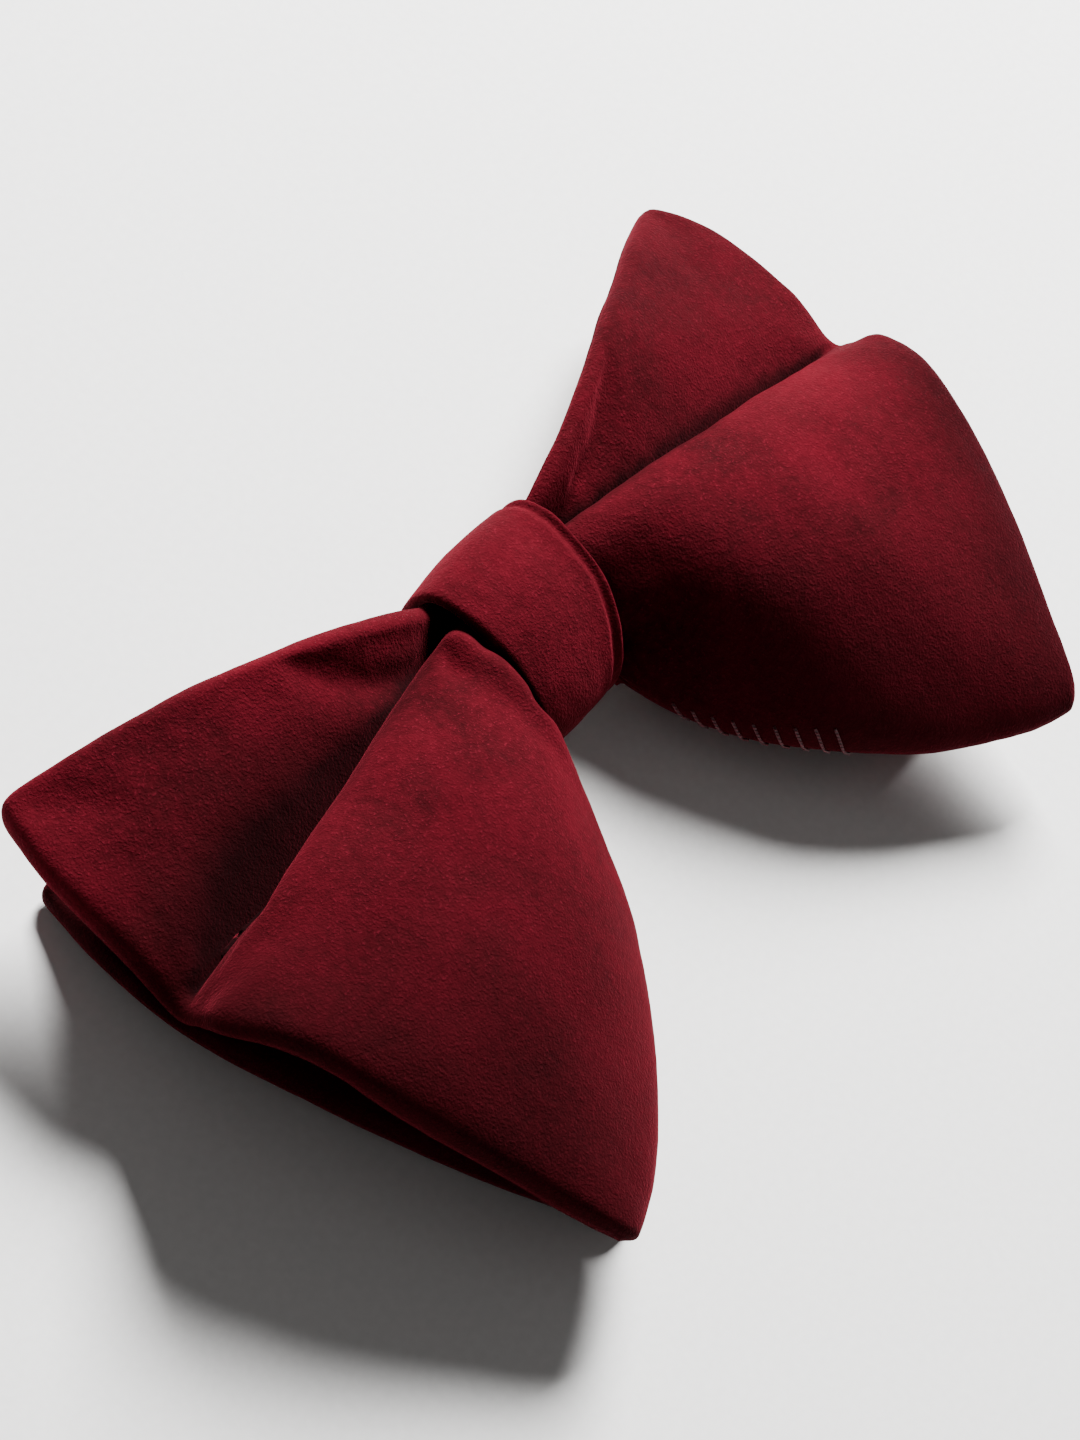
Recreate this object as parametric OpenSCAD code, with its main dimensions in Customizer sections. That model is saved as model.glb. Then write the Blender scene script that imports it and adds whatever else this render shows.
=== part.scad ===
// Pre-tied butterfly bow tie in velvet: two padded leaves, gathered in one
// pleat under a wrapped knot, with a sprung double clip behind it.
// Frame: X along the span, +Y up as worn, +Z out of the front.
// It lies on its back, on the four corners of the rear leaf, at z = 0.

/* [Leaves] */
// Reach of the front leaf at its pleat, from the middle of the knot
leaf_reach = 73; // [70:0.5:76]
// Drop of the front leaf's lower corner below the knot's middle line
lower_drop = 51; // [48:0.5:54]
// Rise of the front leaf's upper corner above the same line
upper_rise = 31; // [28:0.5:34]
// How far the rear leaf's lower edge is tucked up behind the right wing
rear_tuck = 7.5; // [0:0.5:9]
// Thickness of a padded leaf out in the wing
leaf_t = 2.4; // [2.2:0.1:2.6]
// Thickness of a leaf where the knot squeezes it
waist_t = 1.8; // [1.6:0.1:1.9]
// Cells of cloth from the knot to the end of a wing
wing_cells = 9; // [7:1:12]

/* [Knot] */
// Width of the knot band at its upper side
band_w = 21; // [18:0.5:23]
// How much narrower the band is at its lower side
band_taper = 3; // [0:0.5:4]
// How far the band's right edge turns in at its lower corner
band_curl = 2.6; // [0:0.2:3]
// Thickness of the velvet of the band
band_t = 1.2; // [1.0:0.1:1.3]
// Thickness of the canvas strip under it
strip_t = 0.6; // [0.4:0.1:0.7]
// Turns of thread binding the waist
binding_turns = 5; // [3:1:6]

/* [Clip] */
// Length of the clip's base plate
clip_len = 52; // [48:1:56]
// Width of the base plate
clip_w = 11; // [10:0.5:12]
// Thickness of the sheet metal
sheet_t = 0.7; // [0.6:0.05:0.8]
// Distance of each hinge from the middle
hinge_x = 8; // [7.5:0.25:8.5]
// Radius of a hinge pin
pin_r = 0.6; // [0.5:0.05:0.65]
// Wire diameter of a torsion spring
wire_d = 0.5; // [0.4:0.05:0.55]
// Turns of a torsion spring
spring_turns = 3; // [2:1:4]

/* [Hidden] */
velvet = "#6b1222";
canvas = "#d8cdb8";
thread = "#4a0c18";
nickel = "#c9c9cc";
steel = "#9a9a9e";

waist_x = 10.2;       // half the length of waist held inside the knot
knot_y = 3.5;         // middle of the knot's flat back
knot_back = 6.6;      // height of the knot's back above the table
sub = 3;              // cells between two neighbouring guide threads
core_share = 0.24;    // share of a leaf's thickness that is interlining
rim_share = 0.45;     // thickness of a leaf's edge against its middle
thread_r = 0.25;      // sewing thread, drawn stout
lie_y = 9.95;         // moves the knot's middle line up from the bow's centre
lie_z = 0.2;          // lifts the lowest corners to the table
r = leaf_reach;

// Guide threads of the front leaf, from its upper to its lower edge.
// Each runs from the waist to the wing's end:
// [[waist y, z], [first pull x, y, z], [second pull x, y, z], [end x, y, z]]
front_threads = [
    [[12.7, 17.4], [26, 18.0, 27.0], [48, 28.0, 23.0], [r - 7.5, upper_rise, 13.0]],
    [[10.6, 13.7], [26, 12.0, 19.5], [48, 20.0, 20.0], [r - 3.0, upper_rise - 8, 14.8]],
    [[5.0, 12.2], [28, 8.0, 12.5], [50, 9.0, 14.0], [r - 1.5, 11, 15.0]],
    [[0.4, 13.3], [22, 2.0, 11.3], [48, 3.2, 11.2], [r - 1.6, 2.2, 13.6]],
    [[5.0, 14.7], [22, 4.4, 14.8], [48, 3.2, 14.6], [r - 0.8, -0.8, 16.2]],
    [[9.2, 16.0], [24, 7.8, 17.8], [45, 4.6, 18.0], [r, -3.4, 19.3]],
    [[5.2, 17.2], [25, 1.0, 23.0], [46, -4.0, 22.5], [r - 2.6, -11.5, 22.2]],
    [[-1.0, 14.9], [19, -15.0, 22.0], [43, -24.0, 24.0], [r - 8.5, -27, 19.0]],
    [[-3.7, 12.2], [11, -31.0, 8.2], [39, -lower_drop + 1, 9.4], [r - 20.8, -lower_drop, 12.0]]
];
// Guide threads of the rear leaf, which is shorter and lies flatter
back_threads = [
    [[11.4, 11.2], [25, 13.0, 9.0], [46, 22.0, 6.3], [r - 9.5, 24, 0.3]],
    [[6.5, 9.9], [28, 7.5, 9.6], [48, 11.5, 7.5], [r - 5.2, 12, 4.8]],
    [[1.8, 9.9], [28, 0.5, 9.6], [48, 1.5, 7.5], [r - 5.2, 0, 6.2]],
    [[-1.4, 9.9], [20, -14.0, 10.0], [42, -20.0, 9.0], [r - 11.8, -21, 5.4]],
    [[-3.2, 10.5], [13, -26.0, 4.0], [32, -lower_drop + 3, 1.8], [r - 27.5, -lower_drop, 0.3]]
];
// Section of the knot's outside, round from its seam: [y, z]
knot_section = [
    [10.5, 6.6], [5, 6.6], [0, 6.6], [-3.6, 6.7], [-6.3, 7.9], [-7.3, 10.4],
    [-6.6, 13.3], [-4.2, 16.3], [-1, 18.7], [3, 20.5], [7, 21.5], [11, 21.5],
    [14.2, 20.4], [15.8, 17.8], [16.0, 13.5], [15.4, 9.2], [13.6, 7.1], [10.5, 6.6]
];

// ---- curves -------------------------------------------------------------

// Smooth value between b and c, with a before them and e after
function blend4(a, b, c, e, t) =
    0.5 * (2 * b + (c - a) * t + (2 * a - 5 * b + 4 * c - e) * t * t
           + (3 * b - a - 3 * c + e) * t * t * t);
// Point at s along a list of guide points
function along(list, s) =
    let (n = len(list), i = min(floor(s), n - 2), t = s - i,
         b = list[i], c = list[i + 1],
         a = i > 0 ? list[i - 1] : 2 * b - c,
         e = i + 2 < n ? list[i + 2] : 2 * c - b)
    blend4(a, b, c, e, t);
function bezier(a, b, c, e, t) =
    let (s = 1 - t)
    s * s * s * a + 3 * s * s * t * b + 3 * s * t * t * c + t * t * t * e;
function unit(v) = v / max(norm(v), 1e-9);
// Puts the knot's frame where the whole bow lies centred on z = 0
module placed() translate([0, lie_y, lie_z]) children();

// ---- cloth sheets -------------------------------------------------------

// Point of a guide thread at share u of the wing
function wing_point(k, u) =
    bezier([waist_x, k[0][0], k[0][1]], k[1], k[2], k[3], u);
// One leaf as rows of points, from the left wing's end to the right one's.
// Its right wing's lower edge is tucked up by tuck.
function leaf_grid(threads, tuck = 0) =
    let (m = (len(threads) - 1) * sub)
    [for (i = [-wing_cells - 1 : wing_cells + 1])
        let (u = max(0, abs(i) - 1) / wing_cells,
             row = [for (k = threads) wing_point(k, u)])
        [for (j = [0 : m])
            let (p = along(row, j / sub),
                 up = i > 0 ? tuck * u * pow(j / m, 2) : 0)
            i == 0 ? [0, p[1], p[2]] : [sign(i) * p[0], p[1] + up, p[2]]]];
function normal_at(g, i, j) =
    unit(cross(g[i][max(j - 1, 0)] - g[i][min(j + 1, len(g[0]) - 1)],
               g[max(i - 1, 0)][j] - g[min(i + 1, len(g) - 1)][j]));
function on_rim(g, i, j) =
    i == 0 || j == 0 || i == len(g) - 1 || j == len(g[0]) - 1;
function edge_point(g, v) = on_rim(g, floor(v / len(g[0])), v % len(g[0]));
// Half thickness of the leaf at a grid point: squeezed inside the knot,
// and pressed along the pleat of a leaf that has one
function half_t(g, i, j) =
    let (out = min(1, max(0, (abs(g[i][j][0]) - waist_x) / 14)),
         full = waist_t + (leaf_t - waist_t) * out,
         pleat = len(g[0]) > 16 ? min(1, 0.62 + 0.2 * abs(j / sub - 4)) : 1)
    full * pleat / 2 * (on_rim(g, i, j) ? rim_share : 1);
function core_t(g, i, j) =
    on_rim(g, i, j) ? 0 : core_share * half_t(g, i, j);

// Closed layer of a leaf between two offsets of its sheet. A sharp layer
// runs out to nothing at the leaf's edge.
module layer(threads, tuck, hi, lo, sharp = false) {
    g = leaf_grid(threads, tuck);
    n = len(g);
    m = len(g[0]);
    pts = [for (f = [hi, lo]) for (i = [0 : n - 1]) for (j = [0 : m - 1])
        g[i][j] + normal_at(g, i, j) * f(g, i, j)];
    at = function (i, j, s)
        (sharp && on_rim(g, i, j) ? 0 : s) * n * m + i * m + j;
    top = [for (i = [0 : n - 2]) for (j = [0 : m - 2])
        each [[at(i, j, 0), at(i + 1, j, 0), at(i + 1, j + 1, 0)],
              [at(i, j, 0), at(i + 1, j + 1, 0), at(i, j + 1, 0)]]];
    low = [for (i = [0 : n - 2]) for (j = [0 : m - 2])
        each [[at(i, j, 1), at(i + 1, j + 1, 1), at(i + 1, j, 1)],
              [at(i, j, 1), at(i, j + 1, 1), at(i + 1, j + 1, 1)]]];
    ring = concat([for (i = [0 : n - 2]) [i, 0]],
                  [for (j = [0 : m - 2]) [n - 1, j]],
                  [for (i = [n - 1 : -1 : 1]) [i, m - 1]],
                  [for (j = [m - 1 : -1 : 1]) [0, j]]);
    rim = sharp ? [] : [for (k = [0 : len(ring) - 1])
        let (a = ring[k], b = ring[(k + 1) % len(ring)])
        each [[at(a[0], a[1], 0), at(a[0], a[1], 1), at(b[0], b[1], 1)],
              [at(a[0], a[1], 0), at(b[0], b[1], 1), at(b[0], b[1], 0)]]];
    faces = [for (f = concat(top, low, rim))
        if (!sharp || len([for (v = f) if (!edge_point(g, v % (n * m))) v]) > 0) f];
    polyhedron(pts, faces, convexity = 8);
}
module leaf_face(threads, tuck = 0)
    layer(threads, tuck, function (g, i, j) half_t(g, i, j),
          function (g, i, j) core_t(g, i, j));
module leaf_core(threads, tuck = 0)
    layer(threads, tuck, function (g, i, j) core_t(g, i, j),
          function (g, i, j) -core_t(g, i, j), sharp = true);
module leaf_back(threads, tuck = 0)
    layer(threads, tuck, function (g, i, j) -core_t(g, i, j),
          function (g, i, j) -half_t(g, i, j));

// ---- cords --------------------------------------------------------------

// Round cord along a path; side is any direction across it
module cord(path, rad, side, sides = 6) {
    n = len(path);
    pts = [for (i = [0 : n - 1])
        let (t = unit(path[min(i + 1, n - 1)] - path[max(i - 1, 0)]),
             a = unit(cross(t, side)), b = cross(t, a))
        for (k = [0 : sides - 1])
            path[i] + rad * (a * cos(360 * k / sides) + b * sin(360 * k / sides))];
    skin = [for (i = [0 : n - 2]) for (k = [0 : sides - 1])
        let (q = (k + 1) % sides)
        each [[i * sides + k, (i + 1) * sides + k, (i + 1) * sides + q],
              [i * sides + k, (i + 1) * sides + q, i * sides + q]]];
    ends = [[for (k = [0 : sides - 1]) k],
            [for (k = [sides - 1 : -1 : 0]) (n - 1) * sides + k]];
    polyhedron(pts, concat(skin, ends), convexity = 6);
}

// ---- knot ---------------------------------------------------------------

knot_low = -7.3;
knot_high = 16.0;
curl_y = 3;           // the band's right edge turns in below this height
// Half the band's width at height y, on its left (-1) or right (1) side
function band_half(y, side) =
    band_w / 2 - band_taper / 2 * (knot_high - y) / (knot_high - knot_low)
    - (side > 0 ? band_curl * pow(max(0, (curl_y - y) / (curl_y - knot_low)), 1.5) : 0);
// Point of the band: s round the section, w across from -1 to 1, d inward
function band_point(s, w, d, inset) =
    let (e = 0.05, p = along(knot_section, s),
         q = along(knot_section, min(s + e, len(knot_section) - 1))
             - along(knot_section, max(s - e, 0)),
         o = unit([-q[1], q[0]]),
         puff = 0.9 * (1 - w * w) * max(0, min(1, (p[1] - 9) / 6)),
         v = p + o * (puff - d))
    [w * (band_half(p[0], w) - inset), v[0], v[1]];
// Wrapped strip whose two ends butt at the back of the knot
module wrapped(outer, inner, inset, round_n, across_n) {
    last = len(knot_section) - 1;
    n = round_n + 1;
    m = across_n + 1;
    pts = [for (d = [outer, inner]) for (i = [0 : n - 1]) for (j = [0 : m - 1])
        band_point(0.03 + (last - 0.06) * i / round_n, -1 + 2 * j / across_n, d, inset)];
    at = function (i, j, s) s * n * m + i * m + j;
    top = [for (i = [0 : n - 2]) for (j = [0 : m - 2])
        each [[at(i, j, 0), at(i + 1, j, 0), at(i + 1, j + 1, 0)],
              [at(i, j, 0), at(i + 1, j + 1, 0), at(i, j + 1, 0)]]];
    low = [for (i = [0 : n - 2]) for (j = [0 : m - 2])
        each [[at(i, j, 1), at(i + 1, j + 1, 1), at(i + 1, j, 1)],
              [at(i, j, 1), at(i, j + 1, 1), at(i + 1, j + 1, 1)]]];
    ring = concat([for (i = [0 : n - 2]) [i, 0]],
                  [for (j = [0 : m - 2]) [n - 1, j]],
                  [for (i = [n - 1 : -1 : 1]) [i, m - 1]],
                  [for (j = [m - 1 : -1 : 1]) [0, j]]);
    rim = [for (k = [0 : len(ring) - 1])
        let (a = ring[k], b = ring[(k + 1) % len(ring)])
        each [[at(a[0], a[1], 0), at(a[0], a[1], 1), at(b[0], b[1], 1)],
              [at(a[0], a[1], 0), at(b[0], b[1], 1), at(b[0], b[1], 0)]]];
    polyhedron(pts, concat(top, low, rim), convexity = 6);
}
module knot_band() wrapped(0, band_t, 0, 51, 8);
module knot_band_interlining() wrapped(band_t, band_t + strip_t, 1.5, 51, 6);

// One thread wound round the waist under the band
module waist_binding() {
    last = len(knot_section) - 1;
    steps = 26 * binding_turns;
    cord([for (i = [0 : steps])
        let (s = (i % 26) / 26 * last,
             p = band_point(s, 0, band_t + strip_t + thread_r + 0.06, 0))
        [(i / steps - 0.5) * binding_turns * 0.8, p[1], p[2]]],
        thread_r, [1, 0, 0]);
}

// ---- stitches -----------------------------------------------------------

// Slip stitches over the band's butted ends
module knot_seam_stitches() {
    for (i = [-3 : 3])
        cord([[i * 2.2 - 0.4, 9.6, knot_back - thread_r],
              [i * 2.2 + 0.4, 11.4, knot_back - thread_r]], thread_r, [0, 0, 1]);
}
// Slanted stitches closing the turning gap in the right wing's lower edge
module edge_closing_stitches() {
    g = leaf_grid(front_threads);
    j = len(g[0]) - 1;
    for (i = [0 : 6]) {
        s = wing_cells + 2 + wing_cells * (0.20 + 0.04 * i);
        p = along([for (row = g) row[j]], s);
        q = along([for (row = g) row[j - 1]], s);
        t = unit(along([for (row = g) row[j]], s + 0.1) - p);
        o = unit(p - q);
        u = unit(cross(o, t));
        c = p + o * (thread_r + 0.06);
        cord([c - u * 0.9 - t * 0.5, c + u * 0.9 + t * 0.5], thread_r, o);
    }
}
// Stitches holding the clip to the back of the knot
module clip_stitches() {
    for (x = [-3.5, 0, 3.5])
        cord([[x, knot_y - 2.8, plate_z - thread_r],
              [x, knot_y + 2.8, plate_z - thread_r]], thread_r, [0, 0, 1]);
}

// ---- clip ---------------------------------------------------------------

plate_z = knot_back - 0.05 - sheet_t; // underside of the base plate
hinge_z = 3.4;                     // height of the pins
hinge_gap = 0.15;                  // play between a jaw's ear and its pin
ear_r = 1.6;                       // rounded end of an ear
jaw_w = clip_w - 2 * sheet_t - 0.5; // width of a jaw over its ears
jaw_low = 0.35;                    // underside of a jaw's flat part
coil_r = 1.7;                      // mean radius of a spring

module both_sides() {
    children();
    mirror([1, 0, 0]) children();
}
// Flat ear standing at y, from z0 to z1, rounded about the hinge pin
module ear(y, z0, z1, bore, r) {
    difference() {
        union() {
            translate([hinge_x - r, y, z0])
                cube([2 * r, sheet_t, z1 - z0]);
            translate([hinge_x, y, hinge_z])
                rotate([-90, 0, 0]) cylinder(r = r, h = sheet_t, $fn = 32);
        }
        translate([hinge_x, y - 1, hinge_z])
            rotate([-90, 0, 0]) cylinder(r = bore, h = sheet_t + 2, $fn = 32);
    }
}
module clip_base() {
    c = 2;
    difference() {
        union() {
            translate([-clip_len / 2 + c, knot_y - clip_w / 2, plate_z])
                cube([clip_len - 2 * c, clip_w, sheet_t]);
            translate([-clip_len / 2, knot_y - clip_w / 2 + c, plate_z])
                cube([clip_len, clip_w - 2 * c, sheet_t]);
            for (x = [-1, 1], y = [-1, 1])
                translate([x * (clip_len / 2 - c), knot_y + y * (clip_w / 2 - c), plate_z])
                    cylinder(r = c, h = sheet_t, $fn = 32);
        }
        for (x = [-3.5, 0, 3.5], y = [-2.8, 2.8])
            translate([x, knot_y + y, plate_z - 1])
                cylinder(r = 0.5, h = sheet_t + 2, $fn = 24);
    }
    both_sides() {
        ear(knot_y - clip_w / 2, hinge_z, plate_z + sheet_t / 2, pin_r, ear_r);
        ear(knot_y + clip_w / 2 - sheet_t, hinge_z, plate_z + sheet_t / 2, pin_r, ear_r);
    }
}
// Pin along the width of the clip, with a peened head at each end
module hinge_pin() {
    translate([hinge_x, knot_y - clip_w / 2, hinge_z]) rotate([-90, 0, 0]) {
        cylinder(r = pin_r, h = clip_w, $fn = 32);
        translate([0, 0, -0.35]) cylinder(r = pin_r + 0.35, h = 0.35, $fn = 32);
        translate([0, 0, clip_w]) cylinder(r = pin_r + 0.35, h = 0.35, $fn = 32);
    }
}
// Coil round a pin, and the leg that bears on the base plate
module spring() {
    steps = 14 * spring_turns;
    pitch = wire_d + 0.12;
    y0 = knot_y - spring_turns * pitch / 2;
    coil = [for (i = [0 : steps])
        let (a = 90 + 360 * i / 14)
        [hinge_x + coil_r * cos(a), y0 + spring_turns * pitch * i / steps,
         hinge_z + coil_r * sin(a)]];
    leg = [[hinge_x + 5, y0, plate_z - wire_d / 2],
           [hinge_x + 1.2, y0, hinge_z + coil_r + 0.15]];
    cord(concat(leg, coil), wire_d / 2, [0, 1, 0]);
}
// The spring's other leg, which pushes a jaw's thumb tab away
module spring_arm() {
    y1 = knot_y + spring_turns * (wire_d + 0.12) / 2;
    cord([[hinge_x - 0.9, y1 + wire_d + 0.1, hinge_z - coil_r + 0.1],
          [hinge_x - 2.5, y1 + wire_d + 0.1, jaw_low + sheet_t + wire_d / 2 + 0.02],
          [hinge_x - 5.2, y1 + wire_d + 0.1, jaw_low + sheet_t + wire_d / 2 + 0.02]],
         wire_d / 2, [0, 1, 0]);
}
// Sprung lever: thumb tab, ears, bent arm and toothed tip
module jaw() {
    tip = clip_len / 2 - 0.4;
    z1 = jaw_low + sheet_t;
    side = [[1.6, jaw_low + 0.4], [3.0, jaw_low], [10, jaw_low],
            [20, 3.6], [tip, 3.9], [tip, plate_z - 0.3], [tip - sheet_t, plate_z - 0.3],
            [tip - sheet_t, 3.9 + sheet_t], [19.8, 3.6 + sheet_t], [9.8, z1],
            [3.0, z1], [1.6, z1 + 0.4]];
    difference() {
        translate([0, knot_y + jaw_w / 2, 0]) rotate([90, 0, 0])
            linear_extrude(jaw_w) polygon(side);
        for (i = [0 : 5])
            translate([tip - 1.5, knot_y - jaw_w / 2 + (i + 0.5) * jaw_w / 6 - 0.4,
                       plate_z - 0.3 - 0.6])
                cube([3, 0.8, 2]);
    }
    for (y = [knot_y - jaw_w / 2, knot_y + jaw_w / 2 - sheet_t])
        ear(y, jaw_low + sheet_t / 2, hinge_z, pin_r + hinge_gap, ear_r - 0.1);
}

// ---- what is drawn ------------------------------------------------------

color(velvet) placed() leaf_face(front_threads);  // front_leaf_face
color(canvas) placed() leaf_core(front_threads);  // front_leaf_interlining
color(velvet) placed() leaf_back(front_threads);  // front_leaf_backing
color(velvet) placed() leaf_face(back_threads, rear_tuck);  // back_leaf_face
color(canvas) placed() leaf_core(back_threads, rear_tuck);  // back_leaf_interlining
color(velvet) placed() leaf_back(back_threads, rear_tuck);  // back_leaf_backing
color(thread) placed() waist_binding();
color(velvet) placed() knot_band();
color(canvas) placed() knot_band_interlining();
color(thread) placed() knot_seam_stitches();
color(thread) placed() edge_closing_stitches();
color(thread) placed() clip_stitches();
color(nickel) placed() clip_base();
color(steel) placed() mirror([1, 0, 0]) hinge_pin();  // left_hinge_pin
color(steel) placed() hinge_pin();  // right_hinge_pin
color(steel) placed() mirror([1, 0, 0]) spring();  // left_spring
color(steel) placed() spring();  // right_spring
color(nickel) placed() mirror([1, 0, 0]) jaw();  // left_jaw
color(nickel) placed() jaw();  // right_jaw
color(steel) placed() mirror([1, 0, 0]) spring_arm();  // left_spring_arm
color(steel) placed() spring_arm();  // right_spring_arm
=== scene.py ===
"""A pre-tied velvet butterfly bow tie with a sprung double clip, dressed around its CAD frame."""

import logging
import math
from dataclasses import dataclass
from enum import Enum
from typing import Callable

import bmesh
import bpy
from mathutils import Matrix, Vector, noise
from mathutils.bvhtree import BVHTree


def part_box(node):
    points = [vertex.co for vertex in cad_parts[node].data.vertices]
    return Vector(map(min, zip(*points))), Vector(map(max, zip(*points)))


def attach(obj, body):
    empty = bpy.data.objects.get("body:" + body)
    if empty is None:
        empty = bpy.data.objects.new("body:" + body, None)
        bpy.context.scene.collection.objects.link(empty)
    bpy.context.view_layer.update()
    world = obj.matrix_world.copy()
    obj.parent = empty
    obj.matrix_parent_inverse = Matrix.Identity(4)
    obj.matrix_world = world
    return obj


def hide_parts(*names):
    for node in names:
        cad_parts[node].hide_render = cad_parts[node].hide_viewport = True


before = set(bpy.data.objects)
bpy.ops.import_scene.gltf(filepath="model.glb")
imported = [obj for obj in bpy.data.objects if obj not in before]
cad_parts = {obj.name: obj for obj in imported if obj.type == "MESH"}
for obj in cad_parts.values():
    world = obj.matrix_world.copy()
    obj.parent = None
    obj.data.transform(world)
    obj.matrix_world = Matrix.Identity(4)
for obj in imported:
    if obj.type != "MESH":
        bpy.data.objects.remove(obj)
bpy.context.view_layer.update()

LOG = logging.getLogger("bow_tie")
MM = 0.001
SIM_SCALE = 10.0  # cloth is simulated at ten times its size, where the solver is at its best
WING_LENGTH = 64.0  # mm along the cloth, from the waist to a wing's end
CREASE_HEIGHT = 70.0  # mm across a wing where its creases lie
END_HEIGHT = 92.0  # mm across a wing at its end


# ---- shader maths ---------------------------------------------------------------------------


class Signal:
    """A number that varies over a surface. Arithmetic on it adds Math nodes."""

    def __init__(self, recipe: "Recipe", socket: bpy.types.NodeSocket) -> None:
        """Wraps an output socket.

        Args:
            recipe: The material that the socket belongs to.
            socket: The output that carries the number.
        """
        self.recipe = recipe
        self.socket = socket

    def _math(self, operation: str, *values: "Signal | float") -> "Signal":
        """Adds a Math node and returns its output."""
        made = self.recipe.node("ShaderNodeMath", {"operation": operation}, dict(enumerate(values)))
        return Signal(self.recipe, made.outputs[0])

    def __add__(self, other: "Signal | float") -> "Signal":
        """Sum with another signal or number."""
        return self._math("ADD", self, other)

    __radd__ = __add__

    def __sub__(self, other: "Signal | float") -> "Signal":
        """This signal less another."""
        return self._math("SUBTRACT", self, other)

    def __rsub__(self, other: "Signal | float") -> "Signal":
        """Another number less this signal."""
        return self._math("SUBTRACT", other, self)

    def __mul__(self, other: "Signal | float") -> "Signal":
        """Product with another signal or number."""
        return self._math("MULTIPLY", self, other)

    def sine(self) -> "Signal":
        """Sine of this signal, in radians."""
        return self._math("SINE", self)

    def clamp(self) -> "Signal":
        """This signal held between 0 and 1."""
        return self._math("MINIMUM", self._math("MAXIMUM", self, 0.0), 1.0)


class Recipe:
    """Builds one node material."""

    def __init__(self, name: str) -> None:
        """Starts a material with an empty principled surface.

        Args:
            name: The material's name.
        """
        self.material = bpy.data.materials.new(name)
        self.material.use_nodes = True
        self.tree = self.material.node_tree
        self.tree.nodes.clear()
        self.surface = self.node("ShaderNodeBsdfPrincipled")
        output = self.node("ShaderNodeOutputMaterial")
        self.tree.links.new(self.surface.outputs[0], output.inputs[0])
        self.place = self.node("ShaderNodeTexCoord").outputs["Object"]

    def node(
        self, kind: str, settings: dict | None = None, sockets: dict | None = None
    ) -> bpy.types.Node:
        """Adds a node.

        Args:
            kind: The node's type name.
            settings: Its own settings, set first. "stops" is a ramp's list of (place, colour).
            sockets: Values or links for its inputs, by name or number.

        Returns:
            The new node.
        """
        made = self.tree.nodes.new(kind)
        for key, value in (settings or {}).items():
            if key == "stops":
                self._set_stops(made.color_ramp, value)
            else:
                setattr(made, key, value)
        for key, value in (sockets or {}).items():
            if isinstance(value, Signal):
                self.tree.links.new(value.socket, made.inputs[key])
            elif isinstance(value, bpy.types.NodeSocket):
                self.tree.links.new(value, made.inputs[key])
            else:
                made.inputs[key].default_value = value
        return made

    @staticmethod
    def _set_stops(ramp: bpy.types.ColorRamp, stops: list) -> None:
        """Gives a colour ramp its stops."""
        while len(ramp.elements) < len(stops):
            ramp.elements.new(0.5)
        for element, (place, colour) in zip(ramp.elements, stops):
            element.position = place
            element.color = (*colour, 1.0)

    def patches(self, size: float, detail: float = 3.0, distortion: float = 0.0) -> Signal:
        """Noise whose patches are about a given size.

        Args:
            size: Size of a patch, in metres.
            detail: How many finer octaves it has.
            distortion: How far the patches are pulled about.

        Returns:
            The noise, mostly from 0.3 to 0.7.
        """
        made = self.node(
            "ShaderNodeTexNoise",
            {},
            {"Vector": self.place, "Scale": 1.0 / size, "Detail": detail, "Distortion": distortion},
        )
        return Signal(self, made.outputs[0])

    def ramp(self, signal: Signal, stops: list) -> bpy.types.NodeSocket:
        """Colours a signal by a ramp and returns the colour's socket."""
        return self.node("ShaderNodeValToRGB", {"stops": stops}, {0: signal}).outputs[0]

    def blend(self, amount: Signal | float, first: object, second: object) -> bpy.types.NodeSocket:
        """Mixes two colours.

        Args:
            amount: Share of the second colour.
            first: A colour's socket, or its four numbers.
            second: The same, for the other colour.

        Returns:
            The mixed colour's socket.
        """
        made = self.node("ShaderNodeMix", {"data_type": "RGBA"}, {0: amount, 6: first, 7: second})
        return made.outputs[2]

    def relief(self, height: Signal, depth: float) -> None:
        """Gives the surface a bump from a height signal.

        Args:
            height: The relief, from 0 to 1.
            depth: Its full depth, in metres.
        """
        bump = self.node("ShaderNodeBump", {}, {"Height": height, "Distance": depth, "Strength": 1.0})
        self.tree.links.new(bump.outputs[0], self.surface.inputs["Normal"])

    def finish(self, constants: dict, varying: dict) -> bpy.types.Material:
        """Sets the principled surface's sockets.

        Args:
            constants: Values that are the same all over.
            varying: Signals or colour sockets, by input name.

        Returns:
            The finished material.
        """
        for key, value in constants.items():
            self.surface.inputs[key].default_value = value
        for key, value in varying.items():
            socket = value.socket if isinstance(value, Signal) else value
            self.tree.links.new(socket, self.surface.inputs[key])
        return self.material


# ---- finishes -------------------------------------------------------------------------------


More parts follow.
